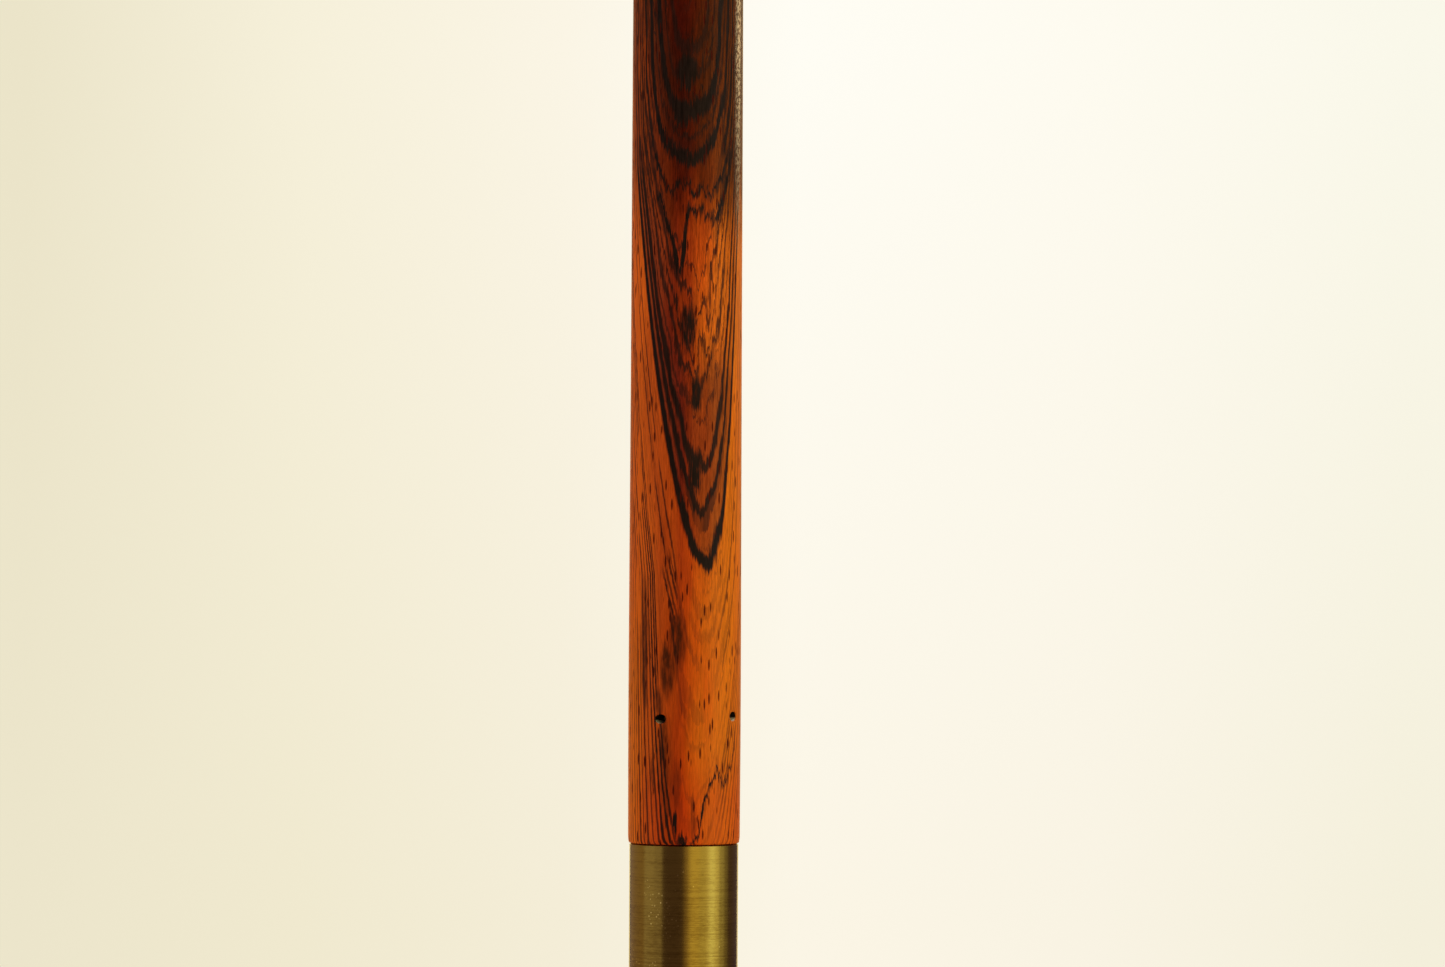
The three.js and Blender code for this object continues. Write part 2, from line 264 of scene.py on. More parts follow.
class Graph:
    """Short calls that add and join shader nodes."""

    def __init__(self, tree):
        self.tree = tree

    def node(self, kind, inputs=None, **settings):
        """A node, with its settings made and its inputs set, or linked to values."""
        node = self.tree.nodes.new(f"ShaderNode{kind}")
        for key, value in settings.items():
            setattr(node, key, value)
        for key, value in (inputs or {}).items():
            if isinstance(value, Value):
                self.tree.links.new(value.socket, node.inputs[key])
            else:
                node.inputs[key].default_value = value
        return node

    def new(self, kind, output, inputs=None, **settings):
        """One output of a new node."""
        return Value(self, self.node(kind, inputs, **settings).outputs[output])

    def math(self, operation, a, b=0, clamp=False):
        return self.new("Math", 0, {0: a, 1: b}, operation=operation, use_clamp=clamp)

    def fold(self, operation, first, *others):
        """All the numbers, joined in order by an operation on two of them."""
        for other in others:
            first = self.math(operation, first, other)
        return first

    def most(self, *numbers):
        return self.fold("MAXIMUM", *numbers)

    def fit(self, value, low, high, to_low=0, to_high=1, smooth=False):
        """The value, carried from one range to another and kept inside it."""
        inputs = {"Value": value, "From Min": low, "From Max": high, "To Min": to_low, "To Max": to_high}
        return self.new("MapRange", "Result", inputs, interpolation_type="SMOOTHSTEP" if smooth else "LINEAR")

    def between(self, value, rise, fall):
        """0 up to 1 over the first range, and back to 0 over the second."""
        return self.fit(value, *rise) * self.fit(value, fall[1], fall[0])

    def stray(self, value, noise, amount):
        """The value, moved either way by a noise around one half."""
        return value + (noise - 0.5) * amount

    def mix(self, factor, a, b, blend="MIX"):
        """The colour a, changed to b or blended with it as far as the factor says."""
        return self.new("Mix", 2, {0: factor, 6: a, 7: b}, data_type="RGBA", blend_type=blend)

    def tint(self, colour, factor, rgb):
        """The colour, multiplied by a tint as far as the factor says."""
        return self.mix(factor, colour, (*rgb, 1), "MULTIPLY")

    def ramp(self, value, stops):
        """Colours over a value from 0 to 1, by (place, colour) stops."""
        node = self.node("ValToRGB", {"Fac": value})
        elements = node.color_ramp.elements
        for place, _ in stops[2:]:
            elements.new(place)
        for element, (place, colour) in zip(elements, stops):
            element.position = place
            element.color = colour
        return Value(self, node.outputs["Color"])

    def scale(self, value, stops):
        """Colours over a value, by (place, colour) stops with places in the value's own unit."""
        low, high = stops[0][0], stops[-1][0]
        shares = [((place - low) / (high - low), colour) for place, colour in stops]
        return self.ramp(self.fit(value, low, high), shares)

    def split(self, vector):
        """A vector's x, y and z."""
        node = self.node("SeparateXYZ", {"Vector": vector})
        return [Value(self, output) for output in node.outputs]


class Surface(Graph):
    """A material's graph, which knows the point on the object in the pen's own frame, in millimetres.

    turn is the angle round the pen in degrees, from the front towards its right.
    """

    def __init__(self, tree):
        super().__init__(tree)
        self.place = self.stretched(self.new("TexCoord", "Object"), 1 / MM, 1 / MM)
        self.x, self.y, self.z = self.split(self.place)
        self.turn = self.math("DEGREES", self.math("ARCTAN2", self.x, self.y * -1))

    def stretched(self, vector, across, along):
        """A point, scaled across and along the pen."""
        return self.new("VectorMath", "Vector", {0: vector, 1: (across, across, along)}, operation="MULTIPLY")

    def grain(self, across, along, detail=2, roughness=0.5):
        """Noise, with its waves per millimetre across and along the pen."""
        point = self.stretched(self.place, across, along)
        inputs = {"Vector": point, "Scale": 1, "Detail": detail, "Roughness": roughness}
        return self.new("TexNoise", "Fac", inputs)

    def dots(self, across, along, core, edge):
        """Scattered dots, 1 inside their core and 0 past their edge, with their number per millimetre."""
        inputs = {"Vector": self.stretched(self.place, across, along), "Scale": 1}
        return self.fit(self.new("TexVoronoi", "Distance", inputs), core, edge, 1, 0)


def new_material(name, rgb, graph=Surface):
    """An empty node material, with the colour that plain viewers show."""
    material = bpy.data.materials.new(name)
    material.use_nodes = True
    material.diffuse_color = rgb
    material.node_tree.nodes.clear()
    return material, graph(material.node_tree)


def finish_material(g, inputs, relief=None, depth=0):
    """Principled shader and output; relief is in the range 0..1 and stands for depth metres."""
    if relief is not None:
        inputs["Normal"] = g.new("Bump", "Normal", {"Height": relief, "Strength": 1, "Distance": depth})
    g.node("OutputMaterial", {"Surface": g.new("BsdfPrincipled", 0, inputs)})


# ---- the wood's figure, in millimetres and in degrees round the barrel ----

LAYER_LEAN = 0.083  # how much the growth layers lean along the barrel
LAYER_SWEEP = 0.94  # how much further they have moved at the top of the sweep
SWEEP = (50, 75)
# Base colours by growth layer, the distance across the grain.
WOOD_SHADES = [
    (0, (254, 137, 28)), (6.6, (254, 137, 28)), (6.9, (226, 114, 22)), (7.6, (216, 109, 24)),
    (8.3, (228, 118, 24)), (9.2, (224, 112, 22)), (9.7, (186, 93, 20)), (10.3, (165, 85, 19)),
    (11.2, (172, 78, 18)), (12.4, (210, 104, 24)), (13.2, (168, 80, 18)), (14.6, (222, 112, 24)),
    (16, (176, 84, 19)), (18, (214, 106, 22)), (20, (180, 86, 20)),
]
# Tones by the distance to the right of the barrel's middle: partly the wood's own colour, partly painted
# light that brightens the left edge and the right side.
SIDE_TONES_AND_PAINTED_LIGHT = [
    (-4.8, (1, 0.7, 0.8)), (-4.1, (1, 0.7, 0.8)), (-3.3, (0.85, 0.58, 0.8)), (-2.35, (0.76, 0.48, 0.8)),
    (-0.65, (0.54, 0.24, 0.5)), (0.2, (0.69, 0.33, 0.4)), (1.3, (0.81, 0.54, 0.5)), (2.4, (0.8, 0.7, 0.7)),
    (3.5, (0.77, 0.74, 0.7)), (4.5, (0.74, 0.64, 0.6)), (4.8, (0.74, 0.64, 0.6)),
]
INK = srgb(38, 27, 24)
CLOUD_SHADE = srgb(70, 34, 18)
PORE_SHADE = srgb(78, 20, 8)
# Tints of the heart's first haze, of its dark middle, of patches, and of the painted light on the lower left
# edge.
HAZE_TINT = (0.55, 0.56, 1.7)
HEART_TINT = (0.22, 0.22, 0.45)
RUDDY_TINT = (0.97, 0.74, 0.9)
COOL_TINT = (1, 1.02, 1.3)
LIGHT_TINT = (1.26, 1.28, 1.5)
LEFT_EDGE_LIGHT_TINT = (1, 1.25, 0.9)
# Dark growth lines of the heart and of the flanks: layer, half width and strength.
HEART_LINES = [
    (6.78, 0.13, 1), (7.16, 0.09, 0.95), (7.45, 0.125, 0.95), (7.72, 0.035, 0.7), (8, 0.07, 0.85),
    (8.22, 0.03, 0.7), (8.45, 0.07, 0.85), (8.75, 0.035, 0.75), (9.69, 0.1, 0.9), (10.02, 0.16, 0.95),
    (10.48, 0.2, 0.9),
]
FLANK_LINES = [
    (1.2, 0.05, 0.6), (1.6, 0.07, 0.7), (2.05, 0.06, 0.75), (2.4, 0.05, 0.7), (2.72, 0.09, 0.8),
    (3.05, 0.05, 0.8), (3.4, 0.08, 0.85), (3.75, 0.05, 0.75), (4.05, 0.06, 0.8), (4.28, 0.06, 0.95),
    (4.48, 0.05, 0.95), (4.64, 0.045, 0.9), (5.6, 0.055, 0.8), (6.05, 0.05, 0.8),
]
FLANK_LINE_WIDTH = 1.3  # a scale on all of their half widths
LINE_CORE = 0.45  # the share of a line's half width that has its full strength
# Dark smears: angle round the barrel, height, half width in degrees, half height and strength.
SMEARS = [
    (9.5, 31.8, 8.5, 2.1, 0.85), (11, 38.4, 6, 1.9, 0.8), (1.5, 44, 10, 2.2, 0.75), (-3, 61.9, 14, 1, 1),
    (0, 65.6, 13, 1.7, 0.95), (-1.5, 0.3, 6, 0.7, 0.9), (-9, 1.9, 2.8, 1.1, 0.8),
]
SPOT_EDGE, SPOT_CORE = 1.4, 0.15  # squares of a smear's radius, where it ends and where it is full
# Softer brown clouds, given in the same way.
CLOUDS = [
    (9.5, 2.4, 2.6, 2.2, 0.7), (-7, 17.4, 10, 2.4, 1), (-17.5, 15, 9.5, 2.8, 1), (-27, 12, 5.5, 1.4, 0.85),
    (-22.5, 8.2, 7, 2.9, 0.85), (-18.5, 5.6, 8, 4.8, 0.6), (-45.5, 17.4, 5.5, 5.4, 0.95),
    (-44, 12.8, 3.5, 1.6, 0.8), (-34, 5.9, 3, 1.7, 0.85), (-8, 5, 5, 2.4, 0.5),
]
# Short slanting checks: place across them and half width in degrees, and strength. CHECKED is where they are.
CHECKS = [(0, 1.7, 0.9), (3.6, 1.4, 0.75), (8.4, 1.6, 0.9), (11.4, 1.3, 0.75)]
CHECKED = (-16, 20.9, 10, 4.3, 1)
CHECK_LEAN = 3  # degrees round the barrel for each millimetre down
# Nested U-shaped dark bands of the upper barrel: share of the U's size, half width and strength.
U_BANDS = [
    (0.45, 0.05, 0.7), (0.6, 0.03, 0.6), (0.77, 0.075, 1), (0.885, 0.02, 0.7), (1, 0.055, 1),
]
OUTER_U_BANDS = [
    (1.08, 0.025, 0.7), (1.17, 0.045, 0.95), (1.26, 0.03, 0.85), (1.35, 0.042, 0.9), (1.44, 0.032, 0.9),
    (1.53, 0.042, 0.9), (1.63, 0.035, 0.85), (1.74, 0.035, 0.75),
]
U_MIDDLE, U_HALF_TURN = 2.5, 44
U_TOP, U_DEPTH = 75, 16.5
U_FULLNESS = 3  # 2 would make the Us elliptic, and more makes them squarer
# Crooked dark veins: angle round the barrel and height along each.
UPPER_VEIN = [
    (-39, 59.4), (-29, 57), (-20, 55.7), (-13.5, 55.3), (-7.5, 56), (3, 56.1), (10, 54.9), (13.5, 55.8),
    (26.5, 55), (33.5, 55.8), (41.5, 57.2), (50, 59.6),
]
LOWER_VEIN = [
    (-36, 56), (-24.5, 53.9), (-20, 52.7), (-13.5, 50.8), (-8.5, 48.5), (-4.5, 49), (-2, 51.6), (1, 53.7),
    (4, 54.2), (10.5, 53.4), (17.5, 53.8), (31.5, 52.9), (39, 54.6), (48.5, 57), (55, 60),
]
JOINT_VEIN = [
    (4, -0.5), (15.5, 1.1), (21.5, 3.8), (35.5, 6.5), (38.5, 5.7), (45, 5.1), (54, 6.2), (61.5, 8.2),
    (66, 11),
]
VEINS = [(UPPER_VEIN, 1.2, 0.35), (LOWER_VEIN, 1.6, 0.5), (JOINT_VEIN, 0.8, 0.25)]  # half widths round and up
VEIN_TAPER = 4  # degrees at each end


class Wood(Surface):
    """The rosewood's graph, with the noises and the growth layers that the parts of its figure share."""

    def __init__(self, tree):
        super().__init__(tree)
        self.wave = self.grain(0.9, 0.16, detail=1)
        self.fibre = self.grain(4, 0.3)
        self.ragged = self.grain(12, 0.9)
        self.streak = self.grain(8, 0.5, detail=3, roughness=0.65)
        self.waver = self.stray(self.stray(self.z, self.ragged, 2.4), self.fibre, 2)
        self.face = flat_side(self)
        self.off_face = abs(self.math("RADIANS", self.turn) - self.face)
        self.layer = growth_layer(self)


def flat_side(g):
    """The side of the barrel, in radians, on which the layers lie flat. It drifts along the barrel."""
    drift = g.math("MINIMUM", g.z * 0.7 + 6, g.z * -0.55 + 34.65)
    return g.math("RADIANS", g.most(drift, -3))


def growth_layer(g):
    """The place across the growth layers: calm in the pale wood, and ragged in the heart."""
    across = g.x * g.math("SINE", g.face) - g.y * g.math("COSINE", g.face)
    sweep = g.fit(g.z, *SWEEP)
    layer = g.z * LAYER_LEAN + across + sweep * sweep * LAYER_SWEEP + g.fit(g.off_face, 0, 0.2, 0.03, 0)
    middle = g.fit(across, 3.4, 4.6, 0.3)
    layer = g.stray(layer, g.wave, middle * g.fit(layer, 7.2, 7.9, 0.2, 0.75))
    layer = g.stray(layer, g.fibre, middle * g.fit(layer, 7.2, 7.8, 0.16, 0.3))
    return g.stray(layer, g.ragged, g.fit(layer, 7.2, 7.8, 0.1, 0.2))


def growth_lines(g, layer, thickness, lines):
    """The strength of a set of dark lines, from 0 to 1, by layer; thickness scales their half widths."""
    strengths = []
    for place, half, strength in lines:
        distance = abs(layer - place) / thickness
        strengths.append(g.fit(distance, half, half * LINE_CORE, 0, strength, smooth=True))
    return g.most(*strengths)


def spots(g, z, places):
    """The strength of a set of soft oval spots, at heights that are compared with z."""
    strengths = []
    for angle, height, half_width, half_height, strength in places:
        u = (g.turn - angle) * (1 / half_width)
        v = (z - height) * (1 / half_height)
        strengths.append(g.fit(u * u + v * v, SPOT_EDGE, SPOT_CORE, 0, strength, smooth=True))
    return g.most(*strengths)


def vein(g, points, half_turn, half_height):
    """The strength of a crooked line that runs through the given angles and heights."""
    first, last = points[0][0], points[-1][0]
    low = min(height for _, height in points)
    span = max(height for _, height in points) - low
    stops = [(angle, ((height - low) / span,) * 3 + (1,)) for angle, height in points]
    heights = [g.scale(g.turn + shift, stops) * span + low for shift in (-half_turn, 0, half_turn)]
    off_line = g.most(g.fold("MINIMUM", *heights) - g.waver, g.waver - g.most(*heights))
    ends = g.between(g.turn, (first, first + VEIN_TAPER), (last - VEIN_TAPER, last))
    return g.fit(off_line, half_height, 0) * ends


# ---- rosewood ----


def layer_colours(g):
    """The colour of each growth layer, toned from left to right along a drifting boundary; the toning is
    partly painted light, which brightens the left edge and the right side.
    """
    shades = g.scale(g.layer, [(layer, srgb(*shade)) for layer, shade in WOOD_SHADES])
    drift = g.fit(g.grain(0.6, 0.09), 0.3, 0.7, -0.7, 0.7)
    tones = g.scale(g.x + drift, [(place, (*tone, 1)) for place, tone in SIDE_TONES_AND_PAINTED_LIGHT])
    return g.mix(1, shades, tones, "MULTIPLY")


def darken_heart(g, colour):
    """The heart is darker, first on the left and low down, then all round higher up."""
    drift = g.stray(g.z, g.wave, 9)
    heart = g.fit(drift, 50.5, 56.5) * g.fit(drift, 100, 78, 0.1) * g.fit(g.y, 2.6, -0.6, 0.1)
    haze = g.most(g.fit(g.x, 1.2, -0.2), g.fit(g.z, 43, 39, 0, 0.75))
    haze = haze * g.fit(g.z, 40, 46, 1, 0.66) * g.fit(g.layer, 6.72, 6.85) * (1 - heart)
    depth = g.most(g.fit(g.x, -4.4, -1, 0.48, 0.86), g.fit(g.x, 1.5, 3, 0, 0.97))
    return g.tint(g.tint(colour, haze, HAZE_TINT), heart * depth, HEART_TINT)


def tint_patches(g, colour):
    """Patches that are redder, cooler or lighter than the wood round them, and painted light that makes the
    lower left edge yellower and brighter.
    """
    ruddy = g.fit(g.z, 8, 4) * g.fit(g.x, -4.2, -2.6, 0.1)
    cool = g.fit(g.z, 18, 24) * g.fit(g.x, 2.2, 0.8)
    light = g.between(g.z, (40, 44), (51, 55)) * g.between(g.x, (0.6, 1.6), (3.5, 4.1))
    # painted light: the lower left edge is made yellower and brighter in the colour
    lit_left_edge = g.fit(g.x, -3.4, -4.2) * g.fit(g.z, 24, 14)
    for patch, rgb in ((ruddy, RUDDY_TINT), (cool, COOL_TINT), (light, LIGHT_TINT), (lit_left_edge, LEFT_EDGE_LIGHT_TINT)):
        colour = g.tint(colour, patch, rgb)
    return colour


def fine_lines(g):
    """Fine dark lines along the layers, which come and go."""
    lines = g.new("TexNoise", "Fac", {"W": g.layer * 6, "Scale": 1, "Detail": 2}, noise_dimensions="1D")
    presence = g.fit(g.grain(0.5, 0.1), 0.4, 0.6)
    return presence * g.fit(g.layer, 6.7, 6.9, 0.25, 0.7) * g.fit(lines, 0.53, 0.6, smooth=True)


def heart_lines(g):
    """The dark lines that edge the heart and nest in it, thicker on the left and thin where they turn."""
    thickness = g.fit(g.x, 2.2, -2, 0.92, 1.55) * g.fit(g.off_face, 0.05, 0.3, 0.55)
    return growth_lines(g, g.layer, thickness, HEART_LINES) * g.fit(g.z, 57, 60, 1, 0.15)


def flank_lines(g):
    """Dark lines on the left flank and fainter ones on the right, which come and go above the joint."""
    presence = g.most(g.fit(g.grain(1.3, 0.11, detail=1), 0.32, 0.44), g.fit(g.z, 10, 5))
    flanks = g.most(g.fit(g.x, 0.9, -1.2), g.fit(g.x, 2.6, 3.4, 0, 0.6))
    return flanks * presence * growth_lines(g, g.layer, FLANK_LINE_WIDTH, FLANK_LINES)


def dark_smears(g):
    """Dark smears, broken up by the fibre."""
    smear = spots(g, g.waver, SMEARS)
    smear = g.stray(smear, g.ragged, g.fit(smear, 0, 0.3, 0, 1.6))
    return g.fit(smear, 0.15, 0.85, smooth=True)


def brown_clouds(g):
    """Softer clouds, broken up more coarsely."""
    return spots(g, g.waver, CLOUDS) * g.fit(g.grain(3, 0.5, detail=3, roughness=0.6), 0.36, 0.6, 0.4, 0.95)


def slanting_checks(g):
    """Short dark checks that slant down to the right."""
    angle, height = CHECKED[:2]
    slant = g.stray(g.turn + (g.z * CHECK_LEAN - (angle + CHECK_LEAN * height)), g.ragged, 3)
    broken = g.fit(g.grain(2, 0.8, detail=1), 0.3, 0.4)
    return growth_lines(g, slant, 1, CHECKS) * spots(g, g.z, [CHECKED]) * broken


def u_bands(g):
    """Nested Us on the front of the upper barrel, and finer ones outside them on its flanks."""
    aside = abs(g.turn - U_MIDDLE)
    drop = g.most((U_TOP - g.waver) * (1 / U_DEPTH), 0)
    size = ((aside * (1 / U_HALF_TURN)) ** U_FULLNESS + drop ** U_FULLNESS) ** (1 / U_FULLNESS)
    size = g.stray(g.stray(size, g.fibre, 0.12), g.wave, 0.12)
    flanks = g.fit(aside, 32, 40) * g.fit(g.z, 55.5, 58.5)
    bands = g.most(growth_lines(g, size, 1, U_BANDS), growth_lines(g, size, 1, OUTER_U_BANDS) * flanks)
    return bands * g.fit(g.z, 100, 78, 0.15) * g.fit(g.y, 1.5, -0.5)


def dark_figure(g):
    """Every dark mark together."""
    veins = [vein(g, *shape) for shape in VEINS]
    return g.most(heart_lines(g), flank_lines(g), slanting_checks(g), dark_smears(g), u_bands(g), *veins)


def streak_fibre(g, colour):
    """Lighter and darker fibre along the barrel, stronger in the heart."""
    tone = g.fit(g.streak, 0.3, 0.7, -0.5, 0.5) + g.fit(g.grain(24, 1.8), 0.3, 0.7, -0.22, 0.22)
    tone = tone * g.fit(g.layer, 6, 9, 0.45) + 1.07
    return g.mix(1, colour, g.new("CombineXYZ", 0, {"X": tone, "Y": tone, "Z": tone}), "MULTIPLY")


def open_pores(g):
    """Short dashes along the fibre, in crowds."""
    return g.dots(2.6, 0.4, 0.16, 0.24) * g.fit(g.grain(0.5, 0.2, detail=1), 0.36, 0.46)


def hole_walls_painted_light(g, colour):
    """The pin holes' walls in painted light and shade: near black as painted shade, and pale as a painted
    highlight where they face up towards the light from above.
    """
    from_axis = (g.x * g.x + g.y * g.y) ** 0.5
    walls = g.fit(from_axis, 4.755, 4.7) * g.between(g.z, (9.6, 9.9), (11.7, 12))
    upward = g.split(g.new("TexCoord", "Normal"))[2]
    return g.mix(walls, colour, g.mix(g.fit(upward, 0.1, 0.75), srgb(34, 28, 24), srgb(245, 232, 205)))


def hand_polish(g):
    """A strip of shine on one flank of the upper barrel, which the fibre breaks into grains."""
    strip = g.fit(g.x, 3.9, 4.05) * g.fit(g.x, 4.62, 4.42, 0.3) * g.between(g.z, (49, 68), (80, 95))
    grains = g.fit(g.grain(5, 3.2, detail=3), 0.44, 0.56, 0.1, 1)
    facing = g.new("LayerWeight", "Facing", {"Blend": 0.5})
    return strip * grains * g.fit(facing, 0.35, 0.6)


def rosewood():
    """Layered heartwood with dark growth lines, fibre streaks and open pores, under a thin oil finish."""
    material, g = new_material("rosewood", srgb(150, 62, 20), Wood)
    colour = tint_patches(g, darken_heart(g, layer_colours(g)))
    colour = g.mix(fine_lines(g), colour, INK)
    colour = g.mix(brown_clouds(g), colour, CLOUD_SHADE)
    colour = streak_fibre(g, g.mix(dark_figure(g), colour, INK))
    pores = open_pores(g)
    inputs = {
        # the pin holes' walls get painted shade and a painted highlight
        "Base Color": hole_walls_painted_light(g, g.mix(pores * 0.95, colour, PORE_SHADE)),
        "Roughness": g.fit(g.streak, 0.3, 0.7, 0.3, 0.42) + pores * 0.3,
        "Specular IOR Level": 0.05,
        "Coat Weight": hand_polish(g),
        "Coat Roughness": 0.2,
        "Coat IOR": 2.8,
        "Coat Tint": (1, 0.87, 0.46, 1),
    }
    finish_material(g, inputs, g.streak * 0.3 - pores, 0.015 * MM)
    return material


# ---- metals and floor ----

# Nicked places on the brass: angle, height, half width in degrees, half height and strength.
NICKED = [
    (-38, -3.6, 9, 0.6, 0.9), (-27, -4.7, 12, 0.7, 0.9), (-3, -2.4, 4, 0.4, 0.8), (42, -8.4, 5, 0.5, 0.7),
    (-14, -6.5, 14, 1.8, 0.35),
]


def brass_tarnish_and_painted_shade(g, rings, brush, wear):
    """How dark the brass is, from 0 to 1: tarnished in clouds and along the turning marks, and painted shade
    that grows towards the mouth, as the light from above falls off.
    """
    clouds = g.fit(g.grain(0.4, 0.25, detail=4, roughness=0.6), 0.45, 0.75, 0, wear)
    # the term by height is painted shade, darker towards the mouth
    darkness = clouds + g.fit(g.z, -0.5, -24, -0.15, 0.75) + g.fit(rings, 0.35, 0.65, -0.3, 0.4)
    return g.math("ADD", darkness, g.fit(brush, 0.35, 0.65, -0.2, 0.3), clamp=True)


def brass(name, rgb, wear):
    """Turned brass: fine rings round the axis, painted shade that darkens it towards the mouth, and a few
    bright nicks.
    """
    material, g = new_material(name, rgb)
    rings = g.grain(0.07, 5.5, detail=4, roughness=0.8)
    brush = g.grain(2, 10, detail=3, roughness=0.7)
    colour = g.mix(brass_tarnish_and_painted_shade(g, rings, brush, wear), rgb, toned(rgb, (0.5, 0.42, 0.35)))
    patches = g.most(g.fit(g.grain(0.33, 0.33, detail=1), 0.6, 0.66, 0, 0.7), spots(g, g.z, NICKED))
    inputs = {
        "Base Color": g.mix(g.dots(3.1, 3.1, 0.15, 0.25) * patches, colour, toned(rgb, (3, 3, 5))),
        "Metallic": 1,
        "Roughness": g.fit(brush, 0.3, 0.7, 0.2, 0.28),
        "Anisotropic": 0.7,
        "Anisotropic Rotation": 0.25,
        "Tangent": g.new("Tangent", 0, direction_type="RADIAL", axis="Z"),
    }
    finish_material(g, inputs, rings * 0.6 + brush * 0.4, 0.004 * MM)
    return material


def steel(name, rgb, along):
    """Drawn or ground sheet steel, brushed along or round the pen."""
    material, g = new_material(name, rgb)
    stretch = (14, 0.4) if along else (0.2, 14)
    brush = g.grain(*stretch, detail=4, roughness=0.65)
    cloud = g.grain(0.6, 0.4, detail=3)
    colour = g.mix(g.fit(cloud, 0.45, 0.75, 0, 0.6), rgb, toned(rgb, (0.6, 0.57, 0.52)))
    roughness = g.fit(brush, 0.3, 0.7, 0.2, 0.34) + g.fit(cloud, 0.4, 0.7, 0, 0.1)
    finish_material(g, {"Base Color": colour, "Metallic": 1, "Roughness": roughness}, brush, 0.003 * MM)
    return material


def floor_paint():
    """Pale matt paint with faint clouds, which glows a little so that its shadows stay soft."""
    material, g = new_material("pale_floor", srgb(240, 234, 218))
    clouds = g.fit(g.grain(0.05, 0.05, detail=4), 0.3, 0.7)
    colour = g.mix(clouds, srgb(236, 229, 211), srgb(243, 237, 222))
    inputs = {"Base Color": colour, "Roughness": 0.8, "Emission Color": colour, "Emission Strength": 0.38}
    finish_material(g, inputs)
    return material


# ---- mesh helpers, in millimetres ----

SHARP_ANGLE = 40  # degrees; edges above it are kept sharp
EASE_STEPS = 5


def new_piece(name, mesh, material, sharp=SHARP_ANGLE):
    """A smooth-shaded object from a closed mesh in millimetres, which keeps edges sharp above an angle."""
    bmesh.ops.scale(mesh, vec=(MM, MM, MM), verts=mesh.verts)
    bmesh.ops.remove_doubles(mesh, verts=mesh.verts, dist=1e-7)
    bmesh.ops.recalc_face_normals(mesh, faces=mesh.faces)
    data = bpy.data.meshes.new(name)
    mesh.to_mesh(data)
    mesh.free()
    data.shade_smooth()
    data.set_sharp_from_angle(angle=math.radians(sharp))
    piece = bpy.data.objects.new(name, data)
    piece.data.materials.append(material)
    SCENE.collection.objects.link(piece)
    return piece


def eased(corners):
    """A profile of (radius, z) points from (radius, z, ease) corners: ease is how much each is rounded."""
    points = []
    last = len(corners) - 1
    for i, (radius, z, ease) in enumerate(corners):
        here = Vector((radius, z))
        if ease == 0 or i in (0, last):
            points.append(here)
            continue
        before = Vector(corners[i - 1][:2]) - here
        after = Vector(corners[i + 1][:2]) - here
        start = here + before.normalized() * min(ease, before.length * 0.45)
        end = here + after.normalized() * min(ease, after.length * 0.45)
        for step in range(EASE_STEPS + 1):
            t = step / EASE_STEPS
            points.append(start * (1 - t) ** 2 + here * 2 * t * (1 - t) + end * t * t)
    return points


def smooth_line(points, steps):
    """A curve through (radius, z) points, with steps pieces between each two."""
    p = [Vector(point) for point in points]
    p = [2 * p[0] - p[1], *p, 2 * p[-1] - p[-2]]
    line = []
    for a, b, c, d in zip(p, p[1:], p[2:], p[3:]):
        square = 2 * a - 5 * b + 4 * c - d
        cube = 3 * b - a - 3 * c + d
        for step in range(steps):
            t = step / steps
            line.append(0.5 * (2 * b + (c - a) * t + square * t**2 + cube * t**3))
    return [*line, p[-2]]


def ring_of(mesh, radius, z, segments):
    """A ring of new vertices round the axis, or a single one on it."""
    if radius < 1e-9:
        return [mesh.verts.new((0, 0, z))]
    turns = (2 * math.pi * i / segments for i in range(segments))
    return [mesh.verts.new((radius * math.sin(a), -radius * math.cos(a), z)) for a in turns]


def bridge(mesh, lower, upper):
    """Faces between two closed loops of as many vertices, or from a loop to a single vertex."""
    count = max(len(lower), len(upper))
    for i in range(count):
        j = (i + 1) % count
        corners = [lower[i % len(lower)], lower[j % len(lower)], upper[j % len(upper)], upper[i % len(upper)]]
        unique = list(dict.fromkeys(corners))
        if len(unique) > 2:
            mesh.faces.new(unique)


def turned(name, profile, material, segments=SEGMENTS, ring=False):
    """A turned piece. Its profile starts and ends on the axis, or closes on itself if ring is true."""
    mesh = bmesh.new()
    rings = [ring_of(mesh, radius, z, segments) for radius, z in profile]
    if ring:
        rings.append(rings[0])
    for lower, upper in zip(rings, rings[1:]):
        bridge(mesh, lower, upper)
    return new_piece(name, mesh, material)


def settle(piece, body, slot, *nodes):
    """Rides the piece on a body, in place of CAD nodes. The slot argument is not used."""
    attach(piece, body)
    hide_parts(*nodes)


# ---- pin holes ----

PIN_NODES = [f"ferrule_pin_{i}" for i in range(1, 5)]
CELL = 0.1  # grid step along the barrel near the holes
PATCH = 12  # half the width of the grid patch that each hole is drilled in, in cells
HOLE_HALF_WIDTH = 0.5
HOLE_HALF_HEIGHT = 0.39
HOLE_FULLNESS = 0.86  # 1 would make the holes elliptic, and less makes them squarer
RIM_EASE = 0.05
BORE_RADIUS = radius_of("barrel") * 2.55 / 4.8


def pin_places():
    """The angle round the barrel and the middle of each cross pin."""
    places = []
    for node in PIN_NODES:
        low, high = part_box(node)
        middle = (low + high) / 2 / MM
        places.append((math.atan2(middle.x, -middle.y), middle))
    return places


def bore_radius_at(_):
    return BORE_RADIUS


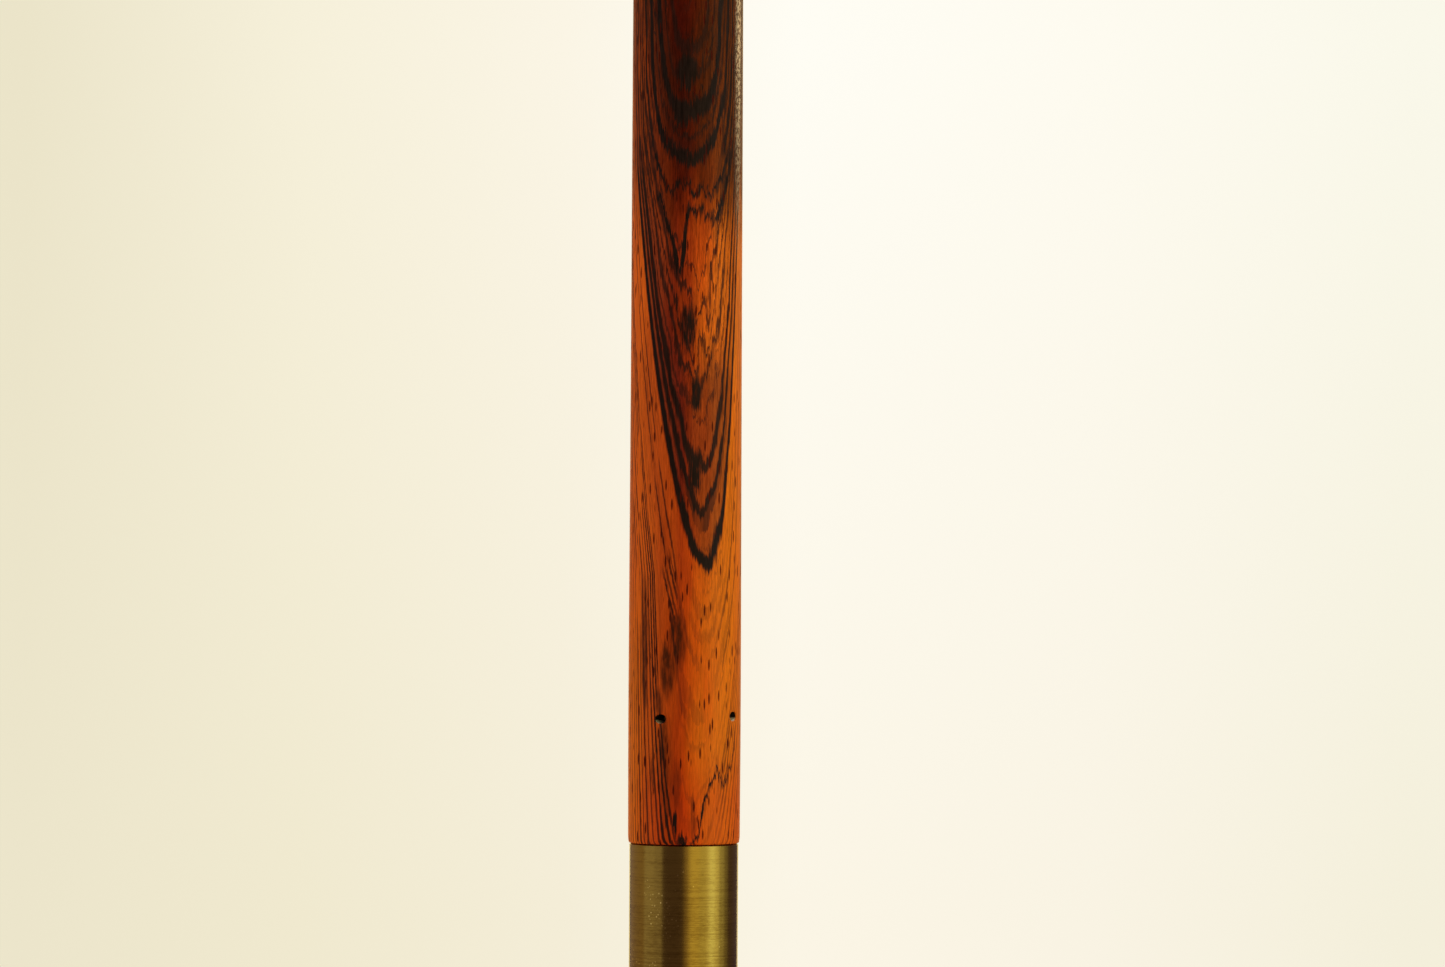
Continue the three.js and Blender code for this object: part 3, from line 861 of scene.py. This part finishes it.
def open_patch(mesh, rings, zs, angle, height):
    """Opens the square patch of a wall round a hole, and gives the loop of vertices at its edge."""
    middle = round(angle / (2 * math.pi) * SEGMENTS)
    level = min(range(len(zs)), key=lambda k: abs(zs[k] - height))

    def at(k, j):
        return rings[level + k][(middle + j) % SEGMENTS]

    side = range(-PATCH, PATCH)
    loop = [at(-PATCH, j) for j in side] + [at(k, PATCH) for k in side]
    loop += [at(PATCH, -j) for j in side] + [at(-k, -PATCH) for k in side]
    inside = {at(k, j) for k in range(1 - PATCH, PATCH) for j in range(1 - PATCH, PATCH)}
    bmesh.ops.delete(mesh, geom=list(inside), context="VERTS")
    return loop


def on_hole(edge, grow=0):
    """Points on the hole's outline, in the directions of the points of an edge round it."""
    half_width, half_height = HOLE_HALF_WIDTH + grow, HOLE_HALF_HEIGHT + grow

    def full(share):
        return math.copysign(abs(share) ** HOLE_FULLNESS, share)

    turns = (math.atan2(w / half_height, u / half_width) for u, w in edge)
    return [(half_width * full(math.cos(t)), half_height * full(math.sin(t))) for t in turns]


def part_way(a, b, t):
    """Points at the share t of the way from each point of a to its partner in b."""
    return [(u0 + (u1 - u0) * t, w0 + (w1 - w0) * t) for (u0, w0), (u1, w1) in zip(a, b)]


class Hole:
    """Places round a hole's axis, as (u, w) along the barrel's girth and up from the hole's middle."""

    def __init__(self, mesh, angle, height):
        self.mesh = mesh
        self.height = height
        self.out = Vector((math.sin(angle), -math.cos(angle), 0))
        self.along = Vector((math.cos(angle), math.sin(angle), 0))

    def flat(self, loop):
        return [(vertex.co.dot(self.along), vertex.co.z - self.height) for vertex in loop]

    def loop_at(self, points, surface, depth=0):
        """New vertices at the points, on a turned surface or at a depth below it."""
        verts = []
        for u, w in points:
            z = self.height + w
            lift = math.sqrt(surface(z) ** 2 - u * u) - depth
            verts.append(self.mesh.verts.new(self.out * lift + self.along * u + Vector((0, 0, z))))
        return verts


def drill(mesh, outer, outer_zs, radius_at, bore, bore_zs, angle, height):
    """Opens both walls round one hole, and leads the surface in over a soft rim to the bore."""
    hole = Hole(mesh, angle, height)
    outer_loop = open_patch(mesh, outer, outer_zs, angle, height)
    outer_edge = hole.flat(outer_loop)
    rim = on_hole(outer_edge, RIM_EASE)
    loops = [outer_loop]
    for t in (0.25, 0.45, 0.62, 0.77, 0.89):
        loops.append(hole.loop_at(part_way(outer_edge, rim, t), radius_at))
    for degrees in (0, 20, 40, 60, 80, 90):
        turn = math.radians(degrees)
        points = on_hole(outer_edge, RIM_EASE * (1 - math.sin(turn)))
        loops.append(hole.loop_at(points, radius_at, RIM_EASE * (1 - math.cos(turn))))

    bore_loop = open_patch(mesh, bore, bore_zs, angle, height)
    bore_edge = hole.flat(bore_loop)
    for depth in (0.6, 1.2, 1.8):
        loops.append(hole.loop_at(on_hole(outer_edge), radius_at, depth))
    loops.append(hole.loop_at(on_hole(outer_edge), bore_radius_at))
    loops.append(hole.loop_at(part_way(bore_edge, on_hole(bore_edge), 0.5), bore_radius_at))
    loops.append(bore_loop)
    for a, b in zip(loops, loops[1:]):
        bridge(mesh, a, b)


# ---- barrel ----


def barrel_outline():
    """The radius by height: eased at the joint, widest at a tenth of the length, then a slow taper."""
    widest = radius_of("barrel") * 0.9997  # a hair inside the CAD barrel
    length = top_of("barrel")
    shares = [(0.9955, 0), (0.9952, 0.012), (1, 0.1), (0.988, 0.3), (0.978, 0.55), (0.945, 0.8), (0.888, 1)]
    line = smooth_line([(share * widest, along * length) for share, along in shares], 24)

    def radius_at(z):
        for a, b in zip(line, line[1:]):
            if a.y <= z <= b.y:
                base = a.x + (b.x - a.x) * (z - a.y) / (b.y - a.y)
                break
        else:
            base = line[-1].x
        joint_ease = 0.09 * math.exp(-z / 0.2)
        tail_ease = 0.1 * math.exp(-(length - z) / 0.1)
        return base - joint_ease - tail_ease

    return radius_at


def spaced(start, end, step):
    """Heights from start up to but without end, about a step apart."""
    count = max(1, round((end - start) / step))
    return [start + (end - start) * i / count for i in range(count)]


def barrel(material):
    """The turned stick, bored for the core's spigot and the cap's stud, with four pin holes."""
    radius_at = barrel_outline()
    places = pin_places()
    length = top_of("barrel")
    bore_end = top_of("ferrule_core") + 0.5
    low = min(middle.z for _, middle in places) - (PATCH + 1) * CELL
    high = max(middle.z for _, middle in places) + (PATCH + 1) * CELL
    band = spaced(low, high, CELL)
    edge = [0, *(0.01 * 1.6**k for k in range(10))]
    tail = [length - z for z in reversed(edge)]
    upper = spaced(high, length - 1.2, 1.1)
    outer_zs = edge + spaced(1.2, low, 0.7) + band + upper + tail
    bore_zs = spaced(0, low, 1.5) + band + spaced(high, bore_end, 1.5) + [bore_end]

    mesh = bmesh.new()
    outer = [ring_of(mesh, radius_at(z), z, SEGMENTS) for z in outer_zs]
    bore = [ring_of(mesh, BORE_RADIUS, z, SEGMENTS) for z in bore_zs]
    for rings in (outer, bore):
        for a, b in zip(rings, rings[1:]):
            bridge(mesh, a, b)
    bridge(mesh, outer[0], bore[0])
    bridge(mesh, bore[-1], ring_of(mesh, 0, bore_end, SEGMENTS))

    stud_hole = radius_of("end_cap_stud") + 0.05
    stud_end = bottom_of("end_cap_stud") - 0.5
    socket = [ring_of(mesh, stud_hole, length, SEGMENTS), ring_of(mesh, stud_hole, stud_end, SEGMENTS)]
    bridge(mesh, outer[-1], socket[0])
    bridge(mesh, socket[0], socket[1])
    bridge(mesh, socket[1], ring_of(mesh, 0, stud_end, SEGMENTS))

    for angle, middle in places:
        drill(mesh, outer, outer_zs, radius_at, bore, bore_zs, angle, middle.z)
    piece = new_piece("barrel_wood", mesh, material, sharp=50)
    settle(piece, "holder", "rosewood", "barrel")
    return piece


# ---- brass pieces ----


def ferrule(material):
    """The plain tube, with a rounded mouth and a small chamfer at the joint."""
    outside, low, high = radius_of("ferrule_tube"), bottom_of("ferrule_tube"), top_of("ferrule_tube")
    inside = outside - 0.7
    seam = (inside, (low + high) / 2, 0)
    corners = [
        seam, (inside, low, 0.12), (outside, low, 0.35), (outside, high - 0.08, 0.03),
        (outside - 0.1, high + 0.01, 0.02), (outside - 0.17, high + 0.065, 0.02),
        (inside, high + 0.065, 0.03), seam,
    ]
    piece = turned("ferrule_brass", eased(corners)[:-1], material, ring=True)
    settle(piece, "holder", "brass", "ferrule_tube")


def core(material):
    """The turned plug that closes the tube, with its grooved spigot."""
    plug, low, high = radius_of("ferrule_core"), bottom_of("ferrule_core"), top_of("ferrule_core")
    seat = top_of("ferrule_tube")
    spigot = BORE_RADIUS - 0.05
    groove = spigot - 0.25
    corners = [(0, low, 0), (plug, low, 0.2), (plug, seat, 0.05), (spigot, seat, 0.1)]
    for start in (3.5, 6, 15.5, 18):
        corners += [(spigot, start, 0.06), (groove, start + 0.3, 0.06)]
        corners += [(groove, start + 0.7, 0.06), (spigot, start + 1, 0.06)]
    corners += [(spigot, high - 0.5, 0.1), (spigot - 0.5, high, 0.1), (0, high, 0)]
    piece = turned("ferrule_core_brass", eased(corners), material, SMALL_SEGMENTS)
    settle(piece, "holder", "brass", "ferrule_core")


def pins(material):
    """Short pins with rounded, slightly dented heads, one down each hole."""
    radius = (top_of(PIN_NODES[0]) - bottom_of(PIN_NODES[0])) / 2
    half = 1.15
    corners = [
        (0, -half, 0), (radius, -half, 0.1), (radius, half, 0.12), (radius * 0.5, half, 0.05),
        (0, half - 0.05, 0),
    ]
    for node, (angle, middle) in zip(PIN_NODES, pin_places()):
        piece = turned(f"{node}_brass", eased(corners), material, 48)
        out = Vector((math.sin(angle), -math.cos(angle), 0))
        place = Matrix.Translation(middle * MM) @ out.to_track_quat("Z", "Y").to_matrix().to_4x4()
        piece.data.transform(place)
        settle(piece, "holder", "brass", node)


def end_cap(material):
    """A domed cap with a fine groove above its foot and a small flat on top."""
    foot, low, high = radius_of("end_cap"), bottom_of("end_cap"), top_of("end_cap")
    hole = radius_of("end_cap_stud") + 0.05
    hole_end = top_of("end_cap_stud") + 0.4
    corners = [
        (0, hole_end, 0), (hole, hole_end, 0), (hole, low, 0.1), (foot, low, 0.1),
        (foot - 0.03, low + 1.55, 0.08), (foot - 0.22, low + 1.72, 0.06), (foot - 0.22, low + 1.86, 0.06),
        (foot - 0.05, low + 2.03, 0.08),
    ]
    dome = [
        (foot - 0.1, low + 2.6), (foot - 0.14, low + 3.6), (foot - 0.36, low + 5.3), (foot - 1.2, high - 0.9),
        (foot - 2.3, high - 0.12), (1.5, high),
    ]
    profile = [*eased([*corners, (*dome[0], 0)]), *smooth_line(dome, 8)[1:], Vector((0, high))]
    settle(turned("end_cap_brass", profile, material), "holder", "brass", "end_cap")


def end_cap_stud(material):
    """The CAD stud, which is hidden in cap and barrel, in the same brass."""
    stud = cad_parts["end_cap_stud"]
    stud.data.materials.clear()
    stud.data.materials.append(material)


# ---- clutch ----

PETAL_SHEET = 0.2
PETAL_SEGMENTS = 192
PETALS = 4
SLOT_HALF_WIDTH = 0.65


def clutch_sleeve(material):
    """Thin drawn tube with a rolled lip at its mouth."""
    low, high = bottom_of("clutch_sleeve"), top_of("clutch_sleeve")
    lip = radius_of("clutch_sleeve")
    outside = radius_of("ferrule_tube") - 0.75
    inside = outside - 0.3
    seam = (inside, (low + high) / 2, 0)
    corners = [
        seam, (inside, low, 0.16), (lip, low, 0.3), (lip, low + 0.7, 0.3), (outside, low + 0.7, 0.05),
        (outside, high, 0.1), (inside, high, 0.1), seam,
    ]
    piece = turned("clutch_sleeve_steel", eased(corners)[:-1], material, ring=True)
    settle(piece, "clutch", "tinned_steel", "clutch_sleeve")


def petal_profiles():
    """The cup's outside and inside from the mouth up, and how many of their rows are slotted."""
    low, high = bottom_of("clutch_petals"), top_of("clutch_petals")
    cup = radius_of("clutch_petals")
    seat = cup - 0.36  # the petals' outside, where they stand at rest
    bow = seat + 0.05
    step = high - 1.8
    slot_top = step - 0.6
    bowed = [(seat, low), (bow, low + 1.8), (bow, low + 3.6), (seat, low + 6.5), (seat, slot_top)]
    line = smooth_line(bowed, 6)
    neck = eased([
        (seat, slot_top, 0), (seat, step - 0.1, 0.2), (cup, step + 0.25, 0.2), (cup, high, 0.25),
        (0, high, 0),
    ])
    outer = [*line, *neck[1:]]
    inner = []
    for i, point in enumerate(outer[:-1]):
        run = (outer[i + 1] - outer[max(i - 1, 0)]).normalized()
        inner.append(point + Vector((-run.y, run.x)) * PETAL_SHEET)
    inner.append(Vector((0, high - PETAL_SHEET)))
    return outer, inner, len(line) - 1


def clutch_petals(material):
    """A cup with four petals cut from its wall, which bow out towards the mouth."""
    outer, inner, petal_rows = petal_profiles()
    mesh = bmesh.new()
    outer_rings = [ring_of(mesh, radius, z, PETAL_SEGMENTS) for radius, z in outer]
    inner_rings = [ring_of(mesh, max(radius, 0), z, PETAL_SEGMENTS) for radius, z in inner]
    slot_half = round(PETAL_SEGMENTS * SLOT_HALF_WIDTH / (2 * math.pi * outer[0].x))
    pitch = PETAL_SEGMENTS // PETALS

    def in_slot(j):
        return min((j - pitch // 2) % pitch, (pitch // 2 - j - 1) % pitch) < slot_half

    for rings in (outer_rings, inner_rings):
        for row, (a, b) in enumerate(zip(rings, rings[1:])):
            if row >= petal_rows:
                bridge(mesh, a, b)
                continue
            for j in range(PETAL_SEGMENTS):
                if not in_slot(j):
                    k = (j + 1) % PETAL_SEGMENTS
                    mesh.faces.new((a[j], a[k], b[k], b[j]))
    for j in range(PETAL_SEGMENTS):
        k = (j + 1) % PETAL_SEGMENTS
        end = petal_rows if in_slot(j) else 0
        a, b = outer_rings[end], inner_rings[end]
        mesh.faces.new((a[j], a[k], b[k], b[j]))
        if in_slot(j) != in_slot(k):
            for row in range(petal_rows):
                outside = outer_rings[row][k], outer_rings[row + 1][k]
                within = inner_rings[row + 1][k], inner_rings[row][k]
                mesh.faces.new((*outside, *within))
    loose = [vertex for vertex in mesh.verts if not vertex.link_faces]
    bmesh.ops.delete(mesh, geom=loose, context="VERTS")
    settle(new_piece("clutch_petals_steel", mesh, material), "clutch", "tinned_steel", "clutch_petals")


# ---- nib ----

NIB_TIP = bottom_of("nib")
NIB_HEEL = top_of("nib")
NIB_RADIUS = radius_of("ferrule_tube") - 1.1
NIB_SHEET = 0.22
NIB_CURL = 21  # the bend closes in over this length above the tip
VENT_HEIGHT = NIB_TIP + 13
VENT_RADIUS = 0.62
SLIT_HALF_WIDTH = 0.035
CUT_LOW, CUT_HIGH = NIB_TIP + 12.2, NIB_TIP + 12.45  # the mouths of the two side cuts
NIB_STEP_ROUND, NIB_STEP_ALONG = 0.2, 0.75  # the mesh's steps, so that it bends smoothly


def nib_bend(z):
    """The outer radius of the bend: full at the heel, closing in towards the point."""
    share = 1 - min(max(z - NIB_TIP, 0) / NIB_CURL, 1)
    return NIB_RADIUS - 1.85 * share**2.6


def nib_side(z):
    """A point on the right edge: half the width that is seen, measured round the bend."""
    neck, shoulder = 7, 18.5
    at_tip, at_neck, at_shoulder = 0.2, 1.25, 3.4
    rise = z - NIB_TIP
    if rise >= shoulder:
        seen = at_shoulder
    elif rise >= neck:
        t = (rise - neck) / (shoulder - neck)
        seen = at_neck + (at_shoulder - at_neck) * (3 * t * t - 2 * t**3) ** 0.85
    else:
        seen = at_tip + (at_neck - at_tip) * (rise / neck) ** 1.25
    return nib_bend(z) * math.asin(min(seen / nib_bend(z), 0.97)), z


def nib_outline():
    """The flat sheet's outline: up the right side, down the left, then up the slit and round the vent."""
    low, high = NIB_TIP + 0.06, NIB_HEEL - 0.35
    heel_half = nib_side(NIB_HEEL)[0]
    right = [nib_side(low + (CUT_LOW - low) * i / 40) for i in range(41)]
    right += [(1.75, CUT_LOW - 0.75), (1.72, CUT_LOW - 0.55)]
    right += [nib_side(CUT_HIGH + (high - CUT_HIGH) * i / 50) for i in range(51)]
    right += [(heel_half - 0.12, NIB_HEEL - 0.1), (heel_half - 0.35, NIB_HEEL)]
    left = [(-x, z) for x, z in reversed(right)]
    start = math.asin(SLIT_HALF_WIDTH / VENT_RADIUS)
    turns = [start + (2 * math.pi - 2 * start) * i / 48 for i in range(49)]
    vent = [(-VENT_RADIUS * math.sin(a), VENT_HEIGHT - VENT_RADIUS * math.cos(a)) for a in turns]
    tips = [(SLIT_HALF_WIDTH, NIB_TIP), (0.14, NIB_TIP)]
    return [*tips, *right, *left, *((-x, z) for x, z in reversed(tips)), *vent]


def flat_sheet(outline, thickness):
    """A mesh of sheet metal cut to an outline."""
    curve = bpy.data.curves.new("nib_outline", "CURVE")
    curve.dimensions = "2D"
    curve.fill_mode = "BOTH"
    curve.extrude = thickness / 2
    spline = curve.splines.new("POLY")
    spline.points.add(len(outline) - 1)
    for point, (x, z) in zip(spline.points, outline):
        point.co = (x, z, 0, 1)
    spline.use_cyclic_u = True
    flat = bpy.data.objects.new("nib_outline", curve)
    mesh = bmesh.new()
    mesh.from_mesh(flat.to_mesh())
    flat.to_mesh_clear()
    bpy.data.objects.remove(flat)
    bpy.data.curves.remove(curve)
    bmesh.ops.remove_doubles(mesh, verts=mesh.verts, dist=1e-4)
    bmesh.ops.triangulate(mesh, faces=mesh.faces)
    return mesh


def nib(material):
    """A pointed nib: sheet steel cut flat, with slit, vent and side cuts, then bent round the axis."""
    mesh = flat_sheet(nib_outline(), NIB_SHEET)
    rows = int((NIB_HEEL - NIB_TIP) / NIB_STEP_ALONG)
    cuts = [((i * NIB_STEP_ROUND, 0, 0), (1, 0, 0)) for i in range(-27, 28)]
    cuts += [((0, NIB_TIP + i * NIB_STEP_ALONG, 0), (0, 1, 0)) for i in range(1, rows + 1)]
    for place, normal in cuts:
        everything = [*mesh.verts, *mesh.edges, *mesh.faces]
        bmesh.ops.bisect_plane(mesh, geom=everything, plane_co=place, plane_no=normal, dist=1e-4)
    for vertex in mesh.verts:
        x, z, lift = vertex.co
        bend = nib_bend(z)
        radius = bend - NIB_SHEET / 2 + lift
        vertex.co = Vector((radius * math.sin(x / bend), -radius * math.cos(x / bend), z))
    settle(new_piece("nib_steel", mesh, material, sharp=35), "nib", "nib_steel", "nib")


# ---- stage ----

FLOOR_DROP = 32  # from the nib's point at rest, so that it clears the floor when it is drawn out
FLOOR_RADIUS = 450
FLOOR_THICKNESS = 10


def add_floor(material):
    """A pale round table top, below the farthest that the nib comes out."""
    level = CAD_BOX[0].z / MM - FLOOR_DROP
    top, foot = FLOOR_RADIUS, level - FLOOR_THICKNESS
    profile = [(0, foot), (top - 10, foot), (top, level - 5), (top, level), (0, level)]
    piece = turned("floor", profile, material, SMALL_SEGMENTS)
    piece.visible_glossy = False
    piece.visible_diffuse = False


def main():
    SCENE.view_settings.view_transform = "Standard"
    add_camera()
    add_world()
    for card in LIGHT_CARDS:
        add_card(*card)
    add_card(*LEFT_FILL, mirrored=False)
    add_ceiling()

    wood = rosewood()
    yellow = brass("brass", (0.38, 0.262, 0.05, 1), 0.5)
    dull = brass("pin_brass", (0.14, 0.09, 0.03, 1), 0.8)
    tinned = steel("tinned_steel", srgb(196, 193, 184), along=False)
    ground = steel("nib_steel", srgb(186, 188, 190), along=True)

    rear_window = add_card(*REAR_WINDOW)
    light_only(rear_window, [barrel(wood)])
    ferrule(yellow)
    core(yellow)
    pins(dull)
    end_cap(yellow)
    end_cap_stud(yellow)
    clutch_sleeve(tinned)
    clutch_petals(tinned)
    nib(ground)
    add_floor(floor_paint())


main()
